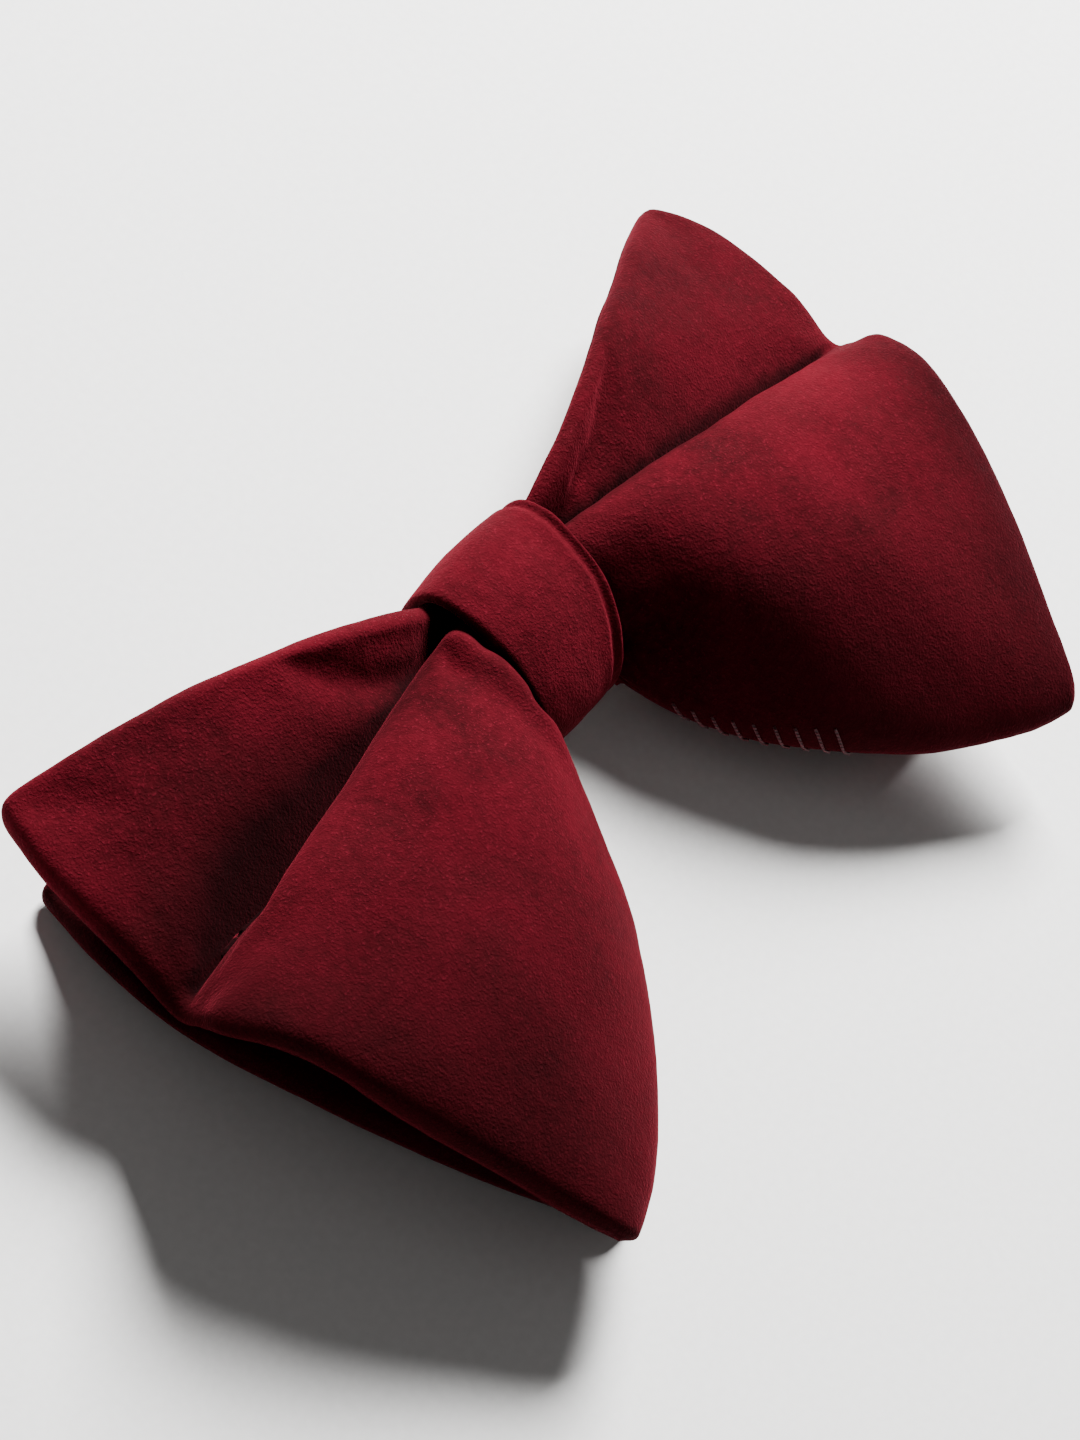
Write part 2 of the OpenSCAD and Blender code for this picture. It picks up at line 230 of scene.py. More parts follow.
@dataclass(frozen=True)
class Velvet:
    """Deep burgundy pile, crushed in soft patches, with a bright edge where it turns away."""

    name: str = "burgundy_velvet"
    lifted: tuple[float, float, float] = (0.072, 0.0030, 0.0072)
    # The pile's middle tone, where it is brushed.
    brushed_pile_and_painted_shade: tuple[float, float, float] = (0.044, 0.0018, 0.0042)
    crushed: tuple[float, float, float] = (0.020, 0.0008, 0.0019)
    sheen: tuple[float, float, float, float] = (0.80, 0.060, 0.110, 1.0)
    # How far the painted shade darkens the colour towards black.
    painted_shade_depth: float = 0.97

    def material(self) -> bpy.types.Material:
        """Builds the material and returns it."""
        recipe = Recipe(self.name)
        drift = recipe.patches(26 * MM, 2.0, 0.4)
        handled = recipe.patches(9 * MM, 3.0, 0.5)
        tufts = recipe.patches(1.1 * MM, 3.0)
        pile = recipe.patches(0.33 * MM, 3.0)
        # Painted shade: each point's value, from the velvet's hollows and the painted shade patches.
        painted_shade = Signal(
            recipe,
            recipe.node("ShaderNodeAttribute", {"attribute_name": "painted_shade"}).outputs["Fac"],
        )
        # The pile's own lie, in random patches: crushed, brushed or lifted.
        pile_lie_and_painted_shade = (drift * 0.44 + handled * 0.28 + tufts * 0.28 - 0.34) * 2.8
        colour = recipe.ramp(
            pile_lie_and_painted_shade.clamp(), [(0.0, self.crushed), (0.42, self.brushed_pile_and_painted_shade), (1.0, self.lifted)]
        )
        flecks = ((pile - 0.59) * 7.0).clamp()
        colour = recipe.blend(flecks * 0.5, colour, (0.130, 0.0075, 0.017, 1.0))
        # Painted shade: the colour is blended towards near black where the points carry painted shade.
        colour = recipe.blend(painted_shade * self.painted_shade_depth, colour, (0.0015, 0.0001, 0.0002, 1.0))
        recipe.relief(pile * 0.55 + tufts * 0.35 + handled * 0.1, 0.30 * MM)
        return recipe.finish(
            {
                "Sheen Weight": 0.14,
                "Sheen Roughness": 0.42,
                "Sheen Tint": self.sheen,
                "Specular IOR Level": 0.02,
            },
            {"Base Color": colour, "Roughness": 0.78 + handled * 0.25},
        )


@dataclass(frozen=True)
class Canvas:
    """Plain woven interlining."""

    name: str = "interlining_canvas"
    light: tuple[float, float, float] = (0.66, 0.60, 0.50)
    dark: tuple[float, float, float] = (0.42, 0.37, 0.29)
    pitch: float = 0.45 * MM

    def material(self) -> bpy.types.Material:
        """Builds the material and returns it."""
        recipe = Recipe(self.name)
        parts = recipe.node("ShaderNodeSeparateXYZ", {}, {0: recipe.place})
        turns = 2 * math.pi / self.pitch
        warp = (Signal(recipe, parts.outputs[0]) * turns).sine()
        weft = (Signal(recipe, parts.outputs[1]) * turns).sine()
        weave = warp * weft * 0.5 + 0.5
        slub = recipe.patches(1.6 * MM, 3.0)
        colour = recipe.ramp((weave * 0.6 + slub * 0.4).clamp(), [(0.1, self.dark), (0.8, self.light)])
        recipe.relief(weave, 0.12 * MM)
        return recipe.finish(
            {"Specular IOR Level": 0.2}, {"Base Color": colour, "Roughness": 0.8 + slub * 0.2}
        )


@dataclass(frozen=True)
class SewingThread:
    """Twisted dark burgundy thread. Its plies run round it."""

    name: str = "burgundy_thread"
    light: tuple[float, float, float] = (0.070, 0.0045, 0.010)
    dark: tuple[float, float, float] = (0.020, 0.0014, 0.003)

    def material(self) -> bpy.types.Material:
        """Builds the material and returns it."""
        recipe = Recipe(self.name)
        plies = recipe.node(
            "ShaderNodeTexWave",
            {"bands_direction": "DIAGONAL"},
            {"Vector": recipe.place, "Scale": 900.0, "Distortion": 2.0, "Detail": 1.0},
        )
        twist = Signal(recipe, plies.outputs["Fac"])
        fuzz = recipe.patches(0.3 * MM, 2.0)
        colour = recipe.ramp((twist * 0.7 + fuzz * 0.3).clamp(), [(0.1, self.dark), (0.9, self.light)])
        recipe.relief(twist, 0.08 * MM)
        return recipe.finish(
            {"Specular IOR Level": 0.35, "Sheen Weight": 0.3, "Sheen Tint": (0.8, 0.2, 0.25, 1.0)},
            {"Base Color": colour, "Roughness": 0.45 + fuzz * 0.3},
        )


@dataclass(frozen=True)
class PlatedMetal:
    """Nickel plating or bare spring steel, with fine rubbed scratches and duller patches."""

    name: str
    bright: tuple[float, float, float]
    dull: tuple[float, float, float]
    roughness: float
    grain: float = 0.25 * MM

    def material(self) -> bpy.types.Material:
        """Builds the material and returns it."""
        recipe = Recipe(self.name)
        stretched = recipe.node(
            "ShaderNodeMapping", {}, {"Vector": recipe.place, "Scale": (0.06, 1.0, 1.0)}
        )
        rubbed = recipe.node(
            "ShaderNodeTexNoise",
            {},
            {"Vector": stretched.outputs[0], "Scale": 1.0 / self.grain, "Detail": 3.0},
        )
        scratches = Signal(recipe, rubbed.outputs[0])
        cloud = recipe.patches(5 * MM, 4.0, 0.4)
        tone = ((cloud * 0.75 + scratches * 0.25 - 0.35) * 3.0).clamp()
        colour = recipe.ramp(tone, [(0.0, self.dull), (1.0, self.bright)])
        recipe.relief(scratches, 0.02 * MM)
        return recipe.finish(
            {"Metallic": 1.0},
            {
                "Base Color": colour,
                "Roughness": self.roughness + (1.0 - cloud) * 0.18 + scratches * 0.08,
            },
        )


@dataclass(frozen=True)
class PaleFloor:
    """Matt studio paper."""

    name: str = "studio_paper"

    def material(self) -> bpy.types.Material:
        """Builds the material and returns it."""
        recipe = Recipe(self.name)
        fibre = recipe.patches(1.2 * MM, 3.0)
        colour = recipe.ramp(fibre, [(0.3, (0.80, 0.79, 0.78)), (0.7, (0.84, 0.83, 0.82))])
        return recipe.finish({"Roughness": 0.9, "Specular IOR Level": 0.1}, {"Base Color": colour})


class Finishes:
    """One of each material, built once."""

    def __init__(self) -> None:
        """Builds every finish of the bow tie and its stage."""
        self.velvet = Velvet().material()
        self.canvas = Canvas().material()
        self.thread = SewingThread().material()
        self.nickel = PlatedMetal(
            "nickel_plate", (0.80, 0.79, 0.77), (0.52, 0.51, 0.49), 0.22
        ).material()
        self.steel = PlatedMetal(
            "spring_steel", (0.56, 0.56, 0.57), (0.30, 0.30, 0.31), 0.30
        ).material()
        self.floor = PaleFloor().material()


# ---- curves ---------------------------------------------------------------------------------


def catmull(points: list[Vector], place: float) -> Vector:
    """A smooth curve through points.

    Args:
        points: The points it passes through.
        place: Where to read it, from 0 to one less than the number of points.

    Returns:
        The point there.
    """
    last = len(points) - 1
    i = min(max(int(math.floor(place)), 0), last - 1)
    t = place - i
    b, c = points[i], points[i + 1]
    a = points[i - 1] if i > 0 else 2 * b - c
    e = points[i + 2] if i + 2 <= last else 2 * c - b
    return 0.5 * (
        2 * b
        + (c - a) * t
        + (2 * a - 5 * b + 4 * c - e) * t**2
        + (3 * b - a - 3 * c + e) * t**3
    )


def packed_rows(count: int) -> list[float]:
    """Places of rows of cloth across a piece, closer together at both edges.

    Args:
        count: The number of cells.

    Returns:
        count + 1 places, from 0 to 1.
    """
    pull, fade = 0.85, 1.1
    crowd = [k - pull * (1 - math.exp(-k / fade)) for k in range(count // 2 + 1)]
    places = [row / crowd[-1] / 2 for row in crowd]
    return places + [1 - p for p in reversed(places[: count - count // 2])]


@dataclass(frozen=True)
class GuideThread:
    """One thread of a leaf, from the waist to a wing's end, as a cubic curve. In mm from the
    knot's middle line and the table under it."""

    waist: tuple[float, float]
    first_pull: tuple[float, float, float]
    second_pull: tuple[float, float, float]
    end: tuple[float, float, float]

    def at(self, u: float, waist_x: float) -> Vector:
        """Point at share u from the waist to the end."""
        s = 1 - u
        start = Vector((waist_x, *self.waist))
        return (
            start * s**3
            + 3 * s * s * u * Vector(self.first_pull)
            + 3 * s * u * u * Vector(self.second_pull)
            + Vector(self.end) * u**3
        )


# ---- mesh helpers ---------------------------------------------------------------------------


def seat_of_knot() -> Vector:
    """Where the leaves' own frame stands: on the table, below the knot's middle line.

    Returns:
        Its origin in the row frame, in metres.
    """
    low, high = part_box("clip_base")
    back_of_knot = 6.55 * MM
    middle_above_line = 3.5 * MM
    return Vector((0.0, (low.y + high.y) / 2 - middle_above_line, high.z - back_of_knot))


def put_in_scene(name: str, work: bmesh.types.BMesh, smooth: bool = True) -> bpy.types.Object:
    """Makes an object of a bmesh, and frees the bmesh.

    Args:
        name: The piece's name.
        work: Its mesh, in the row frame.
        smooth: Whether its faces are shaded smooth.

    Returns:
        The new object, at the origin.
    """
    mesh = bpy.data.meshes.new(name)
    work.to_mesh(mesh)
    work.free()
    mesh.polygons.foreach_set("use_smooth", [smooth] * len(mesh.polygons))
    made = bpy.data.objects.new(name, mesh)
    bpy.context.scene.collection.objects.link(made)
    return made


def baked(piece: bpy.types.Object) -> bpy.types.Object:
    """Applies a piece's modifiers to its mesh and returns it."""
    graph = bpy.context.evaluated_depsgraph_get()
    mesh = bpy.data.meshes.new_from_object(piece.evaluated_get(graph))
    piece.modifiers.clear()
    old = piece.data
    piece.data = mesh
    bpy.data.meshes.remove(old)
    mesh.polygons.foreach_set("use_smooth", [True] * len(mesh.polygons))
    return piece


def thicken(piece: bpy.types.Object, thickness: float, offset: float = 0.0) -> None:
    """Gives an open sheet its thickness, on both sides or, with an offset of -1, inwards."""
    solid = piece.modifiers.new("thickness", "SOLIDIFY")
    solid.thickness = thickness
    solid.offset = offset


def hand_over(
    piece: bpy.types.Object, material: bpy.types.Material, node: str, body: str = "bow"
) -> None:
    """Dresses a piece, hangs it on the body that it rides on, and hides the CAD node that it replaces.

    Args:
        piece: The finished piece.
        material: Its one material.
        node: The CAD node that it replaces.
        body: The body that it rides on.
    """
    piece.data.materials.clear()
    piece.data.materials.append(material)
    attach(piece, body)
    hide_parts(node)
    LOG.info("made %s", piece.name)


def thread_piece(
    name: str, paths: list[list[Vector]], radius: float, sides: int = 8
) -> bpy.types.Object:
    """Makes lengths of round thread or wire, one for each path.

    Args:
        name: The piece's name.
        paths: The points that each length follows.
        radius: The thread's radius.
        sides: Faces round it.

    Returns:
        One object that holds them all.
    """
    work = bmesh.new()
    for path in paths:
        before = len(work.verts)
        last = len(path) - 1
        bmesh.ops.create_grid(work, x_segments=last, y_segments=sides, size=1.0)
        frames = carried_frames(path)
        work.verts.ensure_lookup_table()
        for vert in work.verts[before:]:
            i = round((vert.co.x + 1) / 2 * last)
            turn = (vert.co.y + 1) * math.pi
            across, up = frames[i]
            vert.co = path[i] + (across * math.cos(turn) + up * math.sin(turn)) * radius
    bmesh.ops.remove_doubles(work, verts=work.verts, dist=radius * 0.02)
    bmesh.ops.holes_fill(work, edges=[e for e in work.edges if e.is_boundary], sides=sides)
    bmesh.ops.recalc_face_normals(work, faces=work.faces)
    return put_in_scene(name, work)


def carried_frames(path: list[Vector]) -> list[tuple[Vector, Vector]]:
    """Two directions across a path at each of its points, turning as little as they can."""
    frames = []
    across = (path[1] - path[0]).orthogonal()
    for i in range(len(path)):
        ahead = (path[min(i + 1, len(path) - 1)] - path[max(i - 1, 0)]).normalized()
        across = (across - ahead * across.dot(ahead)).normalized()
        frames.append((across, ahead.cross(across)))
    return frames


def refined(path: list[Vector], cells: int) -> list[Vector]:
    """A path with more points, on a smooth curve through its own."""
    last = len(path) - 1
    return [catmull(path, last * k / cells) for k in range(cells + 1)]


class Side(Enum):
    """The two skins of a padded leaf."""

    FACE = 0
    BACKING = 1


@dataclass
class Pad:
    """A closed pad of two skins, welded round its edge, on a grid of cells."""

    name: str
    columns: int
    rows: int
    place: Callable[[float, float], tuple[Vector, Vector, float]]
    # Painted shade at each place (s, t), from 0 to 1; none unless given.
    brushed_pile_and_painted_shade: Callable[[float, float], float] = lambda s, t: 0.0

    def build(self) -> bpy.types.Object:
        """Models the pad from two grids.

        Returns:
            The pad, with an integer "side" on each face and a painted shade value on each point.
        """
        work = bmesh.new()
        side = work.faces.layers.int.new("side")
        # Painted shade: each point starts with the darkness of the painted shade patches on it.
        painted_shade = work.verts.layers.float.new("painted_shade")
        across = packed_rows(self.rows)
        along = packed_rows(self.columns)
        for skin in Side:
            before = len(work.faces)
            bmesh.ops.create_grid(work, x_segments=self.columns, y_segments=self.rows, size=1.0)
            work.verts.ensure_lookup_table()
            work.faces.ensure_lookup_table()
            for face in work.faces[before:]:
                face[side] = skin.value
        half = len(work.verts) // 2
        for index, vert in enumerate(work.verts):
            i = round((vert.co.x + 1) / 2 * self.columns)
            j = round((vert.co.y + 1) / 2 * self.rows)
            middle, out, thick = self.place(along[i], across[j])
            sign = 1 if index < half else -1
            vert.co = middle + out * (sign * thick)
            vert[painted_shade] = self.brushed_pile_and_painted_shade(along[i], across[j])
        bmesh.ops.reverse_faces(work, faces=[f for f in work.faces if f[side] == Side.FACE.value])
        bmesh.ops.remove_doubles(work, verts=work.verts, dist=0.002 * MM)
        return put_in_scene(self.name, work)


# ---- leaves ---------------------------------------------------------------------------------


@dataclass(frozen=True)
class Crease:
    """A fold pressed into a leaf. Its ends are places (u, t) on one wing: u from the waist to
    the wing's end, t from the upper to the lower edge. Width and depth are in mm."""

    wing: int
    start: tuple[float, float]
    end: tuple[float, float]
    width: float
    depth: float

    def sink(self, u: float, t: float) -> float:
        """How far the cloth is pressed in at a place, in mm."""
        length, height = WING_LENGTH, CREASE_HEIGHT
        ax, ay = self.start[0] * length, self.start[1] * height
        bx, by = (self.end[0] - self.start[0]) * length, (self.end[1] - self.start[1]) * height
        px, py = u * length - ax, t * height - ay
        share = (px * bx + py * by) / (bx * bx + by * by)
        held = min(1.0, max(0.0, share))
        away = math.hypot(px - bx * held, py - by * held)
        if away > 3 * self.width:
            return 0.0
        fade = 1 - held**2
        return self.depth * fade * math.exp(-((away / self.width) ** 2))


@dataclass(frozen=True)
class PaintedShadePatch:
    """A soft patch of painted shade, which darkens the velvet's colour. Its middle and size are
    shares (u, t) of one wing."""

    wing: int
    middle: tuple[float, float]
    size: tuple[float, float]
    strength: float

    def dark(self, u: float, t: float) -> float:
        """How dark the patch is at a place, from 0 to 1."""
        du = (u - self.middle[0]) / self.size[0]
        dt = (t - self.middle[1]) / self.size[1]
        return self.strength * math.exp(-(du * du + dt * dt))


@dataclass
class Leaf:
    """One padded velvet leaf: both wings and the waist that the knot holds."""

    name: str
    threads: list[GuideThread]
    pattern: tuple[float, float]
    pattern_area: float
    thickness: float = 2.6
    waist_thickness: float = 1.8
    waist_x: float = 10.2
    waist_share: float = 0.15
    corner: float = 3.2
    tuck: float = 0.0
    columns: int = 116
    rows: int = 60
    pleat_thread: int | None = None
    creases: tuple[Crease, ...] = ()
    # Patches of painted shade on the velvet.
    painted_shade_patches: tuple[PaintedShadePatch, ...] = ()
    dive: float = 0.0
    right_painted_shade: float = 0.0
    left_shoulder: float = 0.0
    roll: float = 0.8

    def middle(self, s: float, t: float) -> Vector:
        """Point of the leaf's middle sheet.

        Args:
            s: Place along the span, from 0 at the left end to 1 at the right.
            t: Place across, from 0 at the upper edge to 1 at the lower.

        Returns:
            The point, in mm in the leaf's own frame.
        """
        signed = 2 * s - 1
        reach = abs(signed)
        share = self.waist_share
        u = max(0.0, (reach - share) / (1 - share))
        u, t = self._rounded_corner(u, t)
        row = [thread.at(u, self.waist_x) for thread in self.threads]
        point = catmull(row, t * (len(row) - 1))
        if reach < share:
            point.x = self.waist_x * reach / share
        point.x = math.copysign(point.x, signed)
        if signed > 0:
            point.y += self.tuck * u * t**2
        return point

    def _wing_place(self, s: float) -> tuple[float, int]:
        """Share of a wing's length at s, and which wing it is on: -1 left, 1 right."""
        return (abs(2 * s - 1) - self.waist_share) / (1 - self.waist_share), 1 if s > 0.5 else -1

    def _rounded_corner(self, u: float, t: float) -> tuple[float, float]:
        """Pulls a place near a wing's corner in, so that the corner is an arc."""
        length, height = WING_LENGTH, END_HEIGHT
        from_end = (1 - u) * length
        for flip in (False, True):
            v = 1 - t if flip else t
            from_edge = v * height
            if from_end < self.corner and from_edge < self.corner:
                px, py = self.corner - from_end, self.corner - from_edge
                pull = max(px, py) / max(math.hypot(px, py), 1e-6)
                u = 1 - (self.corner - px * pull) / length
                v = (self.corner - py * pull) / height
                t = 1 - v if flip else v
        return u, t

    def place(self, s: float, t: float) -> tuple[Vector, Vector, float]:
        """Middle point, outward direction and half thickness, in metres, at a place."""
        step = 0.004
        point = self.middle(s, t)
        along = self.middle(min(s + step, 1), t) - self.middle(max(s - step, 0), t)
        across = self.middle(s, max(t - step, 0)) - self.middle(s, min(t + step, 1))
        out = along.cross(across).normalized()
        squeeze = min(1.0, max(0.0, (abs(point.x) - self.waist_x) / 14))
        full = self.waist_thickness + (self.thickness - self.waist_thickness) * squeeze
        if self.pleat_thread is not None:
            away = abs(t * (len(self.threads) - 1) - self.pleat_thread)
            full *= min(1.0, 0.62 + 0.2 * away)
        from_end = (1 - abs(2 * s - 1)) / 2 * 170
        from_edge = min(t, 1 - t) * (40 + 52 * abs(2 * s - 1))
        inset = max(0.0, min(from_end, from_edge))
        turn = min(inset / 1.5, 1.0)
        round_edge = math.sqrt(max(0.0, 1 - (1 - turn) ** 2))
        u, wing = self._wing_place(s)
        sink = sum(c.sink(u, t) for c in self.creases if c.wing == wing)
        sink += self.roll * full / 2 * (1 - turn) ** 2
        point = point - out * sink
        lobe = min(1.0, max(0.0, (t - 0.64) / 0.16))
        past = abs(point.x) - self.waist_x
        point.z -= self.dive * lobe * math.exp(-((past / 1.8) ** 2))
        if wing > 0:
            point.z -= self.right_painted_shade * lobe * math.exp(-((past / (3 if past < 0 else 9)) ** 2))
        else:
            below_pleat = min(1.0, max(0.0, (t - 0.50) / 0.14), (1 - t) / 0.1)
            point.z += self.left_shoulder * below_pleat * math.exp(-(((past - 2.2) / 2.7) ** 2))
        return self.seat + point * MM, out, full / 2 * round_edge * MM

    def brushed_pile_and_painted_shade(self, s: float, t: float) -> float:
        """How much painted shade the patches give the cloth at a place, from 0 to 1."""
        u, wing = self._wing_place(s)
        return sum(pile_lie_and_painted_shade.dark(u, t) for pile_lie_and_painted_shade in self.painted_shade_patches if pile_lie_and_painted_shade.wing == wing)

    def shape(self) -> bpy.types.Object:
        """Models the leaf as one pad, lets it settle as cloth, and returns it."""
        self.seat = seat_of_knot()
        name = self.name + "_pad"
        self.pad = Pad(name, self.columns, self.rows, self.place, self.brushed_pile_and_painted_shade).build()
        settle(self.pad, self.hold, cap=0.8 * MM)
        return self.pad

    def build(self, finishes: Finishes) -> None:
        """Cuts the pad into its two skins, and dresses them and the canvas between them.

        Args:
            finishes: The materials.
        """
        pad = self.pad
        ripple(pad)
        for skin in Side:
            piece = skin_of(pad, skin, f"{self.name}_{skin.name.lower()}_velvet", 0.7 * MM)
            hand_over(piece, finishes.velvet, f"{self.name}_{skin.name.lower()}")
        self.interlining(finishes)
        self.surface = BVHTree.FromPolygons(
            [v.co.copy() for v in pad.data.vertices], [list(f.vertices) for f in pad.data.polygons]
        )
        bpy.data.objects.remove(pad)

    def snapped(self, point: Vector, lift: float) -> Vector:
        """The nearest place on the leaf's cloth to a point, lifted off it."""
        where, normal, _, _ = self.surface.find_nearest(point)
        return where + normal * lift

    def closing_stitches(self, finishes: Finishes) -> None:
        """Sews whip stitches over the lower edge of the right wing, beside the knot."""
        radius = 0.19 * MM
        paths = []
        for k in range(9):
            share = self.waist_share
            s = 0.5 + (share + (1 - share) * (0.16 + 0.034 * k)) / 2
            path = []
            for step in range(9):
                over = step / 4 - 1
                middle, out, _ = self.place(s - 0.006 * over, 1 - 0.02 * abs(over))
                edge = self.place(s, 1.0)[0]
                beyond = (edge - self.place(s, 0.97)[0]).normalized()
                target = middle + out * (over * 1.2 * MM) + beyond * ((1 - abs(over)) * MM)
                path.append(self.snapped(target, radius * (0.7 - 1.5 * max(0, abs(over) - 0.7))))
            paths.append(refined(path, 20))
        piece = thread_piece("whip_stitches", paths, radius)
        hand_over(piece, finishes.thread, "edge_closing_stitches")

    def interlining(self, finishes: Finishes) -> None:
        """Models the canvas between the skins, short of the seam all round."""
        work = bmesh.new()
        bmesh.ops.create_grid(work, x_segments=self.columns // 2, y_segments=self.rows // 2, size=1.0)
        inset = 0.035
        for vert in work.verts:
            s = inset + (vert.co.x + 1) / 2 * (1 - 2 * inset)
            t = inset + (vert.co.y + 1) / 2 * (1 - 2 * inset)
            vert.co = self.place(s, t)[0]
        piece = put_in_scene(self.name + "_canvas", work)
        thicken(piece, 0.4 * MM)
        hand_over(piece, finishes.canvas, self.name + "_interlining")

    def hold(self, point: Vector) -> float:
        """How firmly cloth at a point is held: fully inside the knot, freely in the wing."""
        reach = abs(point.x) / MM
        return min(1.0, max(0.0, (self.waist_x + 8 - reach) / 8))


def settle(pad: bpy.types.Object, hold: Callable[[Vector], float], cap: float) -> None:
    """Lets a pad swell and settle as cloth, and keeps the result.

    Args:
        pad: The pad, whose mesh is changed.
        hold: How firmly a point is held, from 0 to 1.
        cap: The farthest that a point may move.
    """
    scene = bpy.context.scene
    start = [v.co.copy() for v in pad.data.vertices]
    group = pad.vertex_groups.new(name="held")
    skins = [set(), set()]
    for face, side in zip(pad.data.polygons, pad.data.attributes["side"].data):
        skins[side.value].update(face.vertices)
    seam = skins[0] & skins[1]
    for vert in pad.data.vertices:
        firm = max(hold(vert.co), 0.7 if vert.index in seam else 0.0)
        group.add([vert.index], firm, "REPLACE")
        vert.co = vert.co * SIM_SCALE
    cloth = pad.modifiers.new("cloth", "CLOTH")
    cloth.settings.quality = 6
    cloth.settings.mass = 0.2
    cloth.settings.tension_stiffness = 20
    cloth.settings.compression_stiffness = 20
    cloth.settings.shear_stiffness = 8
    cloth.settings.bending_stiffness = 6
    cloth.settings.use_pressure = True
    cloth.settings.uniform_pressure_force = 4.0
    cloth.settings.vertex_group_mass = "held"
    cloth.settings.pin_stiffness = 4.0
    cloth.settings.effector_weights.gravity = 0.0
    cloth.collision_settings.use_collision = False
    cloth.point_cache.frame_start = 1
    cloth.point_cache.frame_end = 20
    for step in range(1, 21):
        scene.frame_set(step)
    graph = bpy.context.evaluated_depsgraph_get()
    swollen = pad.evaluated_get(graph).data
    moved = [v.co / SIM_SCALE - first for v, first in zip(swollen.vertices, start)]
    LOG.info("%s moved up to %.2f mm", pad.name, max(m.length for m in moved) / MM)
    pad.modifiers.clear()
    pad.vertex_groups.clear()
    scene.frame_set(1)
    for vert, first, move in zip(pad.data.vertices, start, moved):
        if move.length > cap:
            move *= cap / move.length
        vert.co = first + move


def ripple(pad: bpy.types.Object) -> None:
    """Refines a pad once and gives its cloth the slight unevenness of handled velvet."""
    smooth = pad.modifiers.new("refine", "SUBSURF")
    smooth.levels = 1
    smooth.render_levels = 1
    baked(pad)
    normals = [vert.normal.copy() for vert in pad.data.vertices]
    for vert, normal in zip(pad.data.vertices, normals):
        soft = noise.noise(vert.co / (11 * MM)) * 0.35
        fine = noise.noise(vert.co / (2.6 * MM)) * 0.07
        vert.co += normal * ((soft + fine) * MM)


def paint_shade_in_hollows(pads: list[bpy.types.Object], rays: int = 16, reach: float = 16 * MM) -> None:
    """Adds to each point's painted shade how much velvet closes it in, from 0 in the open to 1.
    This is ambient occlusion painted as shade: the velvet's colour is darkened there.

    Args:
        pads: The velvet pieces, which shade each other.
        rays: How many directions are looked along from a point.
        reach: How far away a surface still counts.
    """
    points, faces = [], []
    for pad in pads:
        faces += [[len(points) + i for i in f.vertices] for f in pad.data.polygons]
        points += [v.co.copy() for v in pad.data.vertices]
    around = BVHTree.FromPolygons(points, faces)
    golden = math.pi * (3 - math.sqrt(5))
    fan = []
    for k in range(rays):
        height = 1 - (k + 0.5) / rays * 0.88
        flat = math.sqrt(1 - height**2)
        fan.append((flat * math.cos(k * golden), flat * math.sin(k * golden), height))
    whole = sum(height for _, _, height in fan)
    open_share, gain = 0.14, 2.8
    for pad in pads:
        mesh = pad.data
        values = []
        for vert, normal in zip(mesh.vertices, [v.normal.copy() for v in mesh.vertices]):
            side = normal.orthogonal().normalized()
            other = normal.cross(side)
            start = vert.co + normal * (0.3 * MM)
            closed = 0.0
            for x, y, z in fan:
                found = around.ray_cast(start, side * x + other * y + normal * z, reach)
                if found[0] is not None:
                    closed += z * (1 - found[3] / reach)
            values.append(max(0.0, (closed / whole - open_share) * gain))
        layer = mesh.attributes["painted_shade"].data
        layer.foreach_set("value", [min(1.0, v + old.value) for v, old in zip(values, layer)])


def skin_of(
    pad: bpy.types.Object, skin: Side, name: str, thickness: float
) -> bpy.types.Object:
    """Cuts one skin out of a pad.

    Args:
        pad: The pad, which is left alone.
        skin: Which of its skins.
        name: The piece's name.
        thickness: The cloth's thickness.

    Returns:
        The skin, as a sheet with its thickness inwards.
    """
    work = bmesh.new()
    work.from_mesh(pad.data)
    side = work.faces.layers.int["side"]
    other = [f for f in work.faces if f[side] != skin.value]
    bmesh.ops.delete(work, geom=other, context="FACES")
    piece = put_in_scene(name, work)
    thicken(piece, thickness, -1.0)
    return piece


